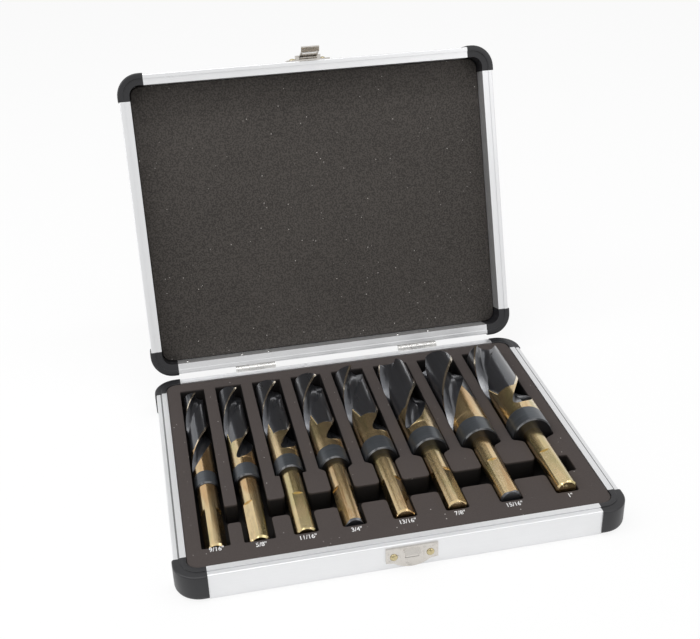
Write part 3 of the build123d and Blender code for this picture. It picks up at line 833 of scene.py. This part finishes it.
class DRILLCASE_OT_hinges(bpy.types.Operator):
    """Finish the two hinges on the back"""

    bl_idname = "drillcase.hinges"
    bl_label = "Hinges"

    def execute(self, context):
        zinc = plated_nickel("hinge plate", context.scene.case_fittings.hinge_color)
        for node in ("hinge_base_leaves", "hinge_lid_leaves", "hinge_pins"):
            dress(node, zinc)
        return {"FINISHED"}


def tree_input(tree, name, kind, default=None, low=None, high=None):
    """A named input of a node tree."""
    socket = tree.interface.new_socket(name=name, in_out="INPUT", socket_type="NodeSocket" + kind)
    if default is not None:
        socket.default_value = default
    if low is not None:
        socket.min_value, socket.max_value = low, high


def written_tree(tree):
    """The recipe that writes a tree whose inputs are named, and those inputs."""
    tree.interface.new_socket(name="Geometry", in_out="OUTPUT", socket_type="NodeSocketGeometry")
    recipe = Recipe(tree)
    return recipe, recipe.add("NodeGroupInput").outputs


def rivet_tree():
    """Node tree: a domed head at each point of a mesh, all facing one way."""
    tree = bpy.data.node_groups.new("rivet heads", "GeometryNodeTree")
    tree_input(tree, "Geometry", "Geometry")
    tree_input(tree, "Radius", "Float", 0.002, 0.0001, 0.01)
    tree_input(tree, "Height", "Float", 0.001, 0.0001, 0.01)
    tree_input(tree, "Facing", "Vector", (0.0, 0.0, 0.0))
    tree_input(tree, "Finish", "Material")
    recipe, given = written_tree(tree)
    ball = recipe.add("GeometryNodeMeshUVSphere", None, {"Segments": 20, "Rings": 12, "Radius": 1.0})
    x, y, z = recipe.split(recipe.add("GeometryNodeInputPosition").outputs[0])
    radius, height = Amount(recipe, given["Radius"]), Amount(recipe, given["Height"])
    foot = -0.12
    dome = recipe.joined(x * radius, y * radius, recipe.most(z, foot) * height)
    head = recipe.shape("SetPosition", ball.outputs[0], {"Position": dome})
    many = recipe.add("GeometryNodeInstanceOnPoints", None, {
        "Points": given["Geometry"], "Instance": head, "Rotation": given["Facing"]})
    real = recipe.shape("RealizeInstances", many.outputs[0])
    soft = recipe.shape("SetShadeSmooth", real)
    clad = recipe.shape("SetMaterial", soft, {"Material": given["Finish"]})
    recipe.add("NodeGroupOutput", None, {0: clad})
    return tree


def run_tree(name, tree, points, inputs):
    """A plain mesh object from a node tree run on a mesh of loose points."""
    mesh = bpy.data.meshes.new(name + " points")
    mesh.from_pydata([tuple(c * MM for c in point) for point in points], [], [])
    maker = set_out(name + " maker", mesh)
    modifier = maker.modifiers.new("made by rule", "NODES")
    modifier.node_group = tree
    known = {s.name: s.identifier for s in tree.interface.items_tree if s.in_out == "INPUT"}
    for key, value in inputs.items():
        modifier[known[key]] = value
    mesh = evaluated(maker)
    mesh.name = name
    return set_out(name, mesh)


class DRILLCASE_OT_rivets(bpy.types.Operator):
    """Set the rivets of the latch, the strike and the hinges"""

    bl_idname = "drillcase.rivets"
    bl_label = "Rivets"

    def execute(self, context):
        settings = context.scene.case_fittings
        tree = rivet_tree()
        brass = rivet_brass("rivet brass", settings.rivet_color)
        steel = rivet_brass("rivet steel", settings.hinge_color)
        front, back = (math.pi / 2, 0.0, 0.0), (-math.pi / 2, 0.0, 0.0)
        dome = (settings.dome_radius, settings.dome_height)
        small, tail = (1.8 * MM, 0.8 * MM), (1.1 * MM, 0.7 * MM)
        latch_x = (-10.5, 10.5)
        hinge_x = [side * HINGE_X + step for side in (-1, 1) for step in (-9.0, 9.0)]
        tail_x = (-106.0, -67.5, -48.5, 46.5, 69.0)
        rows = (
            ("strike_rivets", "base", latch_x, PLATE_FRONT_Y, 9.0, dome, front, brass),
            ("latch_rivets", "lid", latch_x, PLATE_FRONT_Y, 24.2, dome, front, brass),
            ("hinge_base_rivets", "base", hinge_x, LEAF_BACK_Y, 9.85, small, back, steel),
            ("hinge_lid_rivets", "lid", hinge_x, LEAF_BACK_Y, 23.65, small, back, steel),
            ("rivet_tails", "lid", tail_x, 95.9, 22.0, tail, front, steel),
        )
        for name, body, places, y, z, (radius, height), facing, finish in rows:
            piece = run_tree(name, tree, [(x, y, z) for x in places], {
                "Radius": radius, "Height": height, "Facing": facing, "Finish": finish})
            if body == "lid":
                piece.data.transform(swing_open())
            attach(piece, body)
        return {"FINISHED"}


# ---------------------------------------------------------------- drills
FLUTE_COLUMNS, LAND_COLUMNS, MARGIN_COLUMNS = 24, 26, 3
HALF_COLUMNS = FLUTE_COLUMNS + LAND_COLUMNS + 1 + MARGIN_COLUMNS
# Rows along a drill: end face, end chamfer, flats, step at their end, shank, shoulder, chamfer,
# collar, neck, the flutes' run-out, fluted body and point.
ROWS = (1, 1, 10, 1, 8, 1, 1, 26, 4, 60, 96, 24)
# A flute's section on a drill of radius 1: centre and radius of its round bottom, the way that the
# centre moves out along the run-out, how far out it starts, and which way the flute then faces, in
# radians.
FLUTE_CENTRE, FLUTE_RADIUS = (0.5256, 0.7184), 0.543
LIFT_WAY, LIFT_START, START_FACING = (0.682, 0.7314), 0.95, 0.878


def staged(recipe, index, counts, amounts):
    """A running total that grows by each amount over its own count of rows or columns."""
    total, start = None, 0
    for count, amount in zip(counts, amounts):
        if not (isinstance(amount, (int, float)) and amount == 0):
            share = recipe.math("DIVIDE", index - start, count, clamp=True)
            part = share * amount
            total = part if total is None else total + part
        start += count
    return total


def drill_tree():
    """Node tree: a reduced-shank twist drill lying along Y, its point towards +Y."""
    tree = bpy.data.node_groups.new("twist drill", "GeometryNodeTree")
    for name, default in (("Diameter", 0.02), ("Shank Diameter", 0.0127), ("Shank Length", 0.0545),
                          ("Length", 0.164), ("Lead", 0.13), ("Collar", 0.015), ("Neck", 0.018),
                          ("Run-out", 0.02), ("Relief", 0.00045), ("Relief Start", 0.02),
                          ("Relief Peak", 0.04), ("Flat Length", 0.0335), ("Flat Depth", 0.00085)):
        tree_input(tree, name, "Float", default, 0.0, 10.0)
    for name, default in (("Web", 0.19), ("Margin", 7.5), ("Turn", 60.0), ("Flat Turn", 30.0),
                          ("Gold End", 1.0)):
        tree_input(tree, name, "Float", default, -1000.0, 1000.0)
    tree_input(tree, "Place", "Vector", (0.0, 0.0, 0.0))
    tree_input(tree, "Finish", "Material")
    recipe, given = written_tree(tree)
    size = {s.name: Amount(recipe, s) for s in given if s.type == "VALUE"}
    columns, rows = 2 * HALF_COLUMNS, sum(ROWS)
    sheet = recipe.add("GeometryNodeMeshGrid", None, {
        "Size X": columns, "Size Y": rows, "Vertices X": columns + 1, "Vertices Y": rows + 1})
    column, row, _ = recipe.split(recipe.add("GeometryNodeInputPosition").outputs[0])
    column, row = column + columns / 2, row + rows / 2

    # Blank: how far along, and its turned radius there.
    radius, shank = size["Diameter"] / 2, size["Shank Diameter"] / 2
    point_angle, uncut = 118.0, 9.0
    cone = radius * math.tan(math.radians(90 - point_angle / 2))
    end_cut, shoulder_cut, flat_step = 1.0 * MM, 1.2 * MM, 0.05 * MM
    body = size["Length"] - size["Shank Length"] - size["Neck"] - cone
    lengths = (0, end_cut, size["Flat Length"] - end_cut, flat_step,
               size["Shank Length"] - size["Flat Length"] - flat_step, 0, shoulder_cut,
               size["Collar"] - shoulder_cut, size["Neck"] - size["Collar"], size["Run-out"],
               body - size["Run-out"], cone)
    swells = (shank - end_cut, end_cut, 0, 0, 0, radius - shank - shoulder_cut / 2, shoulder_cut / 2,
              0, 0, 0, 0, 0 - radius)
    along = staged(recipe, row, ROWS, lengths)
    turned = staged(recipe, row, ROWS, swells)
    share = recipe.most(turned / radius, 0.02)

    # Flute: where its section, lifted along the run-out, crosses the blank.
    flute_start = size["Shank Length"] + size["Neck"]
    left = recipe.clamped(1 - (along - flute_start) / size["Run-out"])
    lift = LIFT_START * left * left
    centre_x = FLUTE_CENTRE[0] + LIFT_WAY[0] * lift
    centre_y = FLUTE_CENTRE[1] + LIFT_WAY[1] * lift
    wall = size["Web"] + LIFT_WAY[1] * lift
    far_off = centre_x * centre_x + centre_y * centre_y
    reach = recipe.math("SQRT", far_off)
    facing = recipe.math("ARCTAN2", centre_y, centre_x)
    crossing = (share * share + far_off - FLUTE_RADIUS ** 2) / (2 * share * reach)
    spread = recipe.math("ARCCOSINE", recipe.clamped(crossing, -1.0, 1.0))
    heel = facing + spread
    lip = recipe.most(facing - spread, recipe.math("ARCSINE", recipe.clamped(wall / share)))
    lip = recipe.least(lip, heel)

    # Angle of each column: flute, cleared land, step and margin, twice round.
    half = recipe.math("FLOOR", (column + 0.001) / HALF_COLUMNS)
    inside = recipe.most(column - half * HALF_COLUMNS, 0.0)
    across = recipe.math("DIVIDE", inside, FLUTE_COLUMNS, clamp=True)
    across = across * across * (3 - 2 * across)
    margin, step = size["Margin"] * (math.pi / 180), math.radians(0.7)
    on_land = staged(recipe, inside - FLUTE_COLUMNS, (LAND_COLUMNS, 1, MARGIN_COLUMNS),
                     (math.pi - margin - step - (heel - lip), step, margin))
    angle = half * math.pi + lip + across * (heel - lip) + on_land
    twist = 2 * math.pi * (size["Length"] - recipe.most(along, flute_start)) / size["Lead"]
    turn = size["Turn"] * (math.pi / 180)
    web_angle = recipe.math("ARCSINE", size["Web"])
    fluted = turn + twist - angle + web_angle

    # Shank: even columns, turned so that three flats start on them.
    pitch = 2 * math.pi / columns
    first_flat = size["Flat Turn"] * (math.pi / 180)
    at_start = turn + 2 * math.pi * (size["Length"] - flute_start) / size["Lead"]
    at_start = at_start + web_angle - START_FACING
    offset = recipe.math("ROUND", (at_start - first_flat) / pitch) * pitch
    even = first_flat + offset - column * pitch
    neck_rows = sum(ROWS[:8])
    eased = recipe.smooth(row, sum(ROWS[:7]), neck_rows)
    way = recipe.choose(eased, even, fluted)

    # Radius: blank, flute bottom, ground land and flats, whichever is least.
    ray = angle - half * math.pi
    ray_x, ray_y = recipe.math("COSINE", ray), recipe.math("SINE", ray)
    toward = centre_x * ray_x + centre_y * ray_y
    root = recipe.math("SQRT", recipe.most(toward * toward - far_off + FLUTE_RADIUS ** 2, 0.0))
    low_wall = wall / recipe.most(ray_y, 0.05)
    hollow = recipe.most(toward - root, low_wall)
    in_flute = (inside > 0.5) * (inside < FLUTE_COLUMNS - 0.5) * (row > neck_rows + ROWS[8] - 0.5)
    dug = recipe.choose(in_flute, uncut, hollow) * radius
    land_share = recipe.math("DIVIDE", inside - FLUTE_COLUMNS, LAND_COLUMNS, clamp=True)
    past_v = recipe.math("ABSOLUTE", land_share - 0.5)
    rise = recipe.choose(land_share > 0.5, past_v * 2, past_v * 0.25)
    start = size["Relief Start"] + (size["Relief Peak"] - size["Relief Start"]) * rise
    ground = along - flute_start - start
    on_body = (inside > FLUTE_COLUMNS - 0.5) * (inside < FLUTE_COLUMNS + LAND_COLUMNS + 0.5)
    ground_edge = 0.8 * MM
    relief = recipe.smooth(ground, 0.0, ground_edge) * on_body * size["Relief"]
    third = 2 * math.pi / 3
    from_flat = recipe.math("FLOORED_MODULO", way - first_flat + third / 2, third) - third / 2
    flat = (shank - size["Flat Depth"]) / recipe.math("COSINE", from_flat)
    flat = recipe.choose(along < size["Flat Length"] + flat_step / 2, uncut, flat)
    final = recipe.least(recipe.least(turned, dug), recipe.least(flat, radius - relief))

    # Coat by zone: 0 oxide, 1 gold, 1.25 margin, 2 gold until ground away, 3 collar band, 4 shoulder.
    shank_rows = sum(ROWS[:5])
    gold_shank = (row > 2 - 2 * size["Gold End"]) * (row < shank_rows)
    black = (row > shank_rows) * (row < shank_rows + 2)
    collar = (row > shank_rows) * (row < neck_rows)
    beyond = (row > neck_rows) * (row < rows - ROWS[-1])
    hollow_zone = (inside < FLUTE_COLUMNS) * (row > neck_rows + ROWS[8])
    margin_zone = inside > FLUTE_COLUMNS + LAND_COLUMNS
    land_zone = beyond * (1 - hollow_zone)
    coat = gold_shank + collar * 3 + black + land_zone * recipe.choose(margin_zone, 2.0, 1.25)
    store = "StoreNamedAttribute"
    made = recipe.shape(store, sheet.outputs[0], {"Name": "coat", "Value": coat},
                        {"data_type": "FLOAT", "domain": "FACE"})
    made = recipe.shape(store, made, {"Name": "ground", "Value": ground},
                        {"data_type": "FLOAT", "domain": "POINT"})
    where = recipe.joined(final * recipe.math("COSINE", way), along, final * recipe.math("SINE", way))
    moved = recipe.add("ShaderNodeVectorMath", {"operation": "ADD"}, {0: where, 1: given["Place"]})
    made = recipe.shape("SetPosition", made, {"Position": moved.outputs[0]})
    made = recipe.shape("MergeByDistance", made, {"Distance": 0.004 * MM})
    smooth_below = math.radians(14)
    crease = recipe.amount(recipe.add("GeometryNodeInputMeshEdgeAngle"))
    made = recipe.shape("SetShadeSmooth", made, {"Shade Smooth": crease < smooth_below},
                        {"domain": "EDGE"})
    made = recipe.shape("RealizeInstances", made)
    made = recipe.shape("SetMaterial", made, {"Material": given["Finish"]})
    recipe.add("NodeGroupOutput", None, {0: made})
    return tree


class DRILLCASE_OT_drills(bpy.types.Operator):
    """Build the eight twist drills, from the smallest to the largest"""

    bl_idname = "drillcase.drills"
    bl_label = "Twist Drills"

    def execute(self, context):
        settings = context.scene.case_drills
        steel = coated_steel("coated steel", settings.gold_color, settings.dark_color,
                             settings.collar_color)
        tree = drill_tree()
        bare_neck, relief_start, relief_peak = 4.0, 21.0, 34.0
        for x, (node, diameter, lead, turn, flat_turn, _) in zip(DRILL_X, DRILLS):
            growth = diameter - DRILLS[0][1]
            neck = NECK_SMALLEST + growth * NECK_PER_MM
            axis_z = POCKET_FLOOR_Z + DRILL_REST + diameter / 2
            lengths = {
                "Diameter": diameter, "Shank Diameter": 2 * SHANK_R, "Shank Length": SHANK_LENGTH,
                "Length": DRILL_LENGTH, "Lead": lead, "Collar": neck - bare_neck, "Neck": neck,
                "Relief Start": relief_start, "Relief Peak": relief_peak, "Flat Length": FLAT_LENGTH,
            }
            piece = run_tree(node + "_twisted", tree, [], {
                **{name: value * MM for name, value in lengths.items()},
                "Run-out": settings.run_out, "Relief": settings.relief, "Web": settings.web,
                "Margin": settings.margin, "Flat Depth": settings.flat_depth,
                "Turn": turn, "Flat Turn": flat_turn,
                "Gold End": float(node not in ("drill_3_4", "drill_15_16")),
                "Place": (x * MM, SHANK_END_Y * MM, axis_z * MM), "Finish": steel,
            })
            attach(piece, node)
            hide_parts(node)
        return {"FINISHED"}


# ---------------------------------------------------------------- stage
def lamp(name, size, power, at, aim):
    light = bpy.data.lights.new(name, "AREA")
    light.shape = "RECTANGLE"
    light.size, light.size_y = size
    light.energy = power
    holder = set_out(name, light)
    holder.location = at
    holder.rotation_euler = (Vector(aim) - Vector(at)).to_track_quat("-Z", "Y").to_euler()


class DRILLCASE_OT_stage(bpy.types.Operator):
    """Lay the pale floor, hang the soft lamps and set the camera"""

    bl_idname = "drillcase.stage"
    bl_label = "Stage"

    def execute(self, context):
        settings = context.scene.case_stage
        scene = context.scene
        bm = bmesh.new()
        reach, drop = 3.0, 0.0001
        bmesh.ops.create_grid(bm, x_segments=2, y_segments=2, size=reach)
        floor = mesh_from("floor", bm, pale_floor("pale floor", settings.floor_color))
        floor.data.transform(Matrix.Translation((0.0, 0.0, -drop)))
        world = bpy.data.worlds.new("pale room")
        world.use_nodes = True
        world.node_tree.nodes.clear()
        recipe = Recipe(world.node_tree)
        path = recipe.add("ShaderNodeLightPath")
        seen = recipe.amount(path, "Is Camera Ray") + recipe.amount(path, "Is Transmission Ray")
        mirrored = recipe.amount(path, "Is Glossy Ray")
        strength = recipe.choose(mirrored, settings.sky, settings.mirrored_sky)
        sky = recipe.add("ShaderNodeBackground", None, {
            "Color": (1.0, 1.0, 1.0, 1.0),
            "Strength": recipe.choose(recipe.clamped(seen), strength, 1.0)})
        recipe.add("ShaderNodeOutputWorld", None, {"Surface": sky.outputs[0]})
        scene.world = world
        low, high = (0.0, 0.0, 0.02), (0.0, 0.0, 0.05)
        strip = (0.1, 1.5)
        lamp("key lamp", (1.0, 1.2), settings.key_power, (-0.5, -0.2, 1.2), low)
        lamp("left strip", strip, settings.strip_power, (-1.2, 0.0, 0.72), low)
        lamp("top strip", strip, settings.strip_power, (0.3, 0.0, 1.3), low)
        lamp("front lamp", (0.9, 0.6), settings.front_power, (0.9, -0.9, 0.9), high)
        eye = bpy.data.cameras.new("camera")
        eye.lens, eye.sensor_width, eye.sensor_fit = 55.56, 36.0, "HORIZONTAL"
        eye.clip_start, eye.clip_end = 0.01, 20.0
        scene.camera = set_out("camera", eye)
        scene.camera.matrix_world = camera_place()
        scene.view_settings.view_transform = "Standard"
        return {"FINISHED"}


def camera_place():
    """Where the camera stands and looks, from its place, heading, pitch and roll."""
    place, angles = (-0.1189, -0.5529, 0.4108), (-11.079, 90 - 28.563, -1.797)
    look = Matrix.Translation(place)
    for angle, axis in zip(angles, "ZXZ"):
        look = look @ Matrix.Rotation(math.radians(angle), 4, axis)
    return look


# ---------------------------------------------------------------- add-on
OPERATORS = (
    DRILLCASE_OT_rails, DRILLCASE_OT_panels, DRILLCASE_OT_corners, DRILLCASE_OT_foam_block,
    DRILLCASE_OT_lid_pad, DRILLCASE_OT_size_labels, DRILLCASE_OT_latch, DRILLCASE_OT_hinges,
    DRILLCASE_OT_rivets, DRILLCASE_OT_drills, DRILLCASE_OT_stage,
)


class DRILLCASE_PT_panel(bpy.types.Panel):
    """Sizes, colours and build steps of the drill bit case"""

    bl_idname = "DRILLCASE_PT_panel"
    bl_label = "Drill Bit Case"
    bl_space_type = "VIEW_3D"
    bl_region_type = "UI"
    bl_category = "Drill Case"

    def draw(self, context):
        for name, group in GROUPS.items():
            box = self.layout.box()
            for key in group.__annotations__:
                box.prop(getattr(context.scene, name), key)
        for operator in OPERATORS:
            self.layout.operator(operator.bl_idname)


def register():
    for group in GROUPS.values():
        bpy.utils.register_class(group)
    for name, group in GROUPS.items():
        setattr(bpy.types.Scene, name, PointerProperty(type=group))
    for operator in OPERATORS:
        bpy.utils.register_class(operator)
    bpy.utils.register_class(DRILLCASE_PT_panel)


def unregister():
    bpy.utils.unregister_class(DRILLCASE_PT_panel)
    for operator in reversed(OPERATORS):
        bpy.utils.unregister_class(operator)
    for name, group in reversed(GROUPS.items()):
        delattr(bpy.types.Scene, name)
        bpy.utils.unregister_class(group)


def main():
    register()
    for operator in OPERATORS:
        family, step = operator.bl_idname.split(".")
        getattr(getattr(bpy.ops, family), step)()


if __name__ == "__main__":
    main()
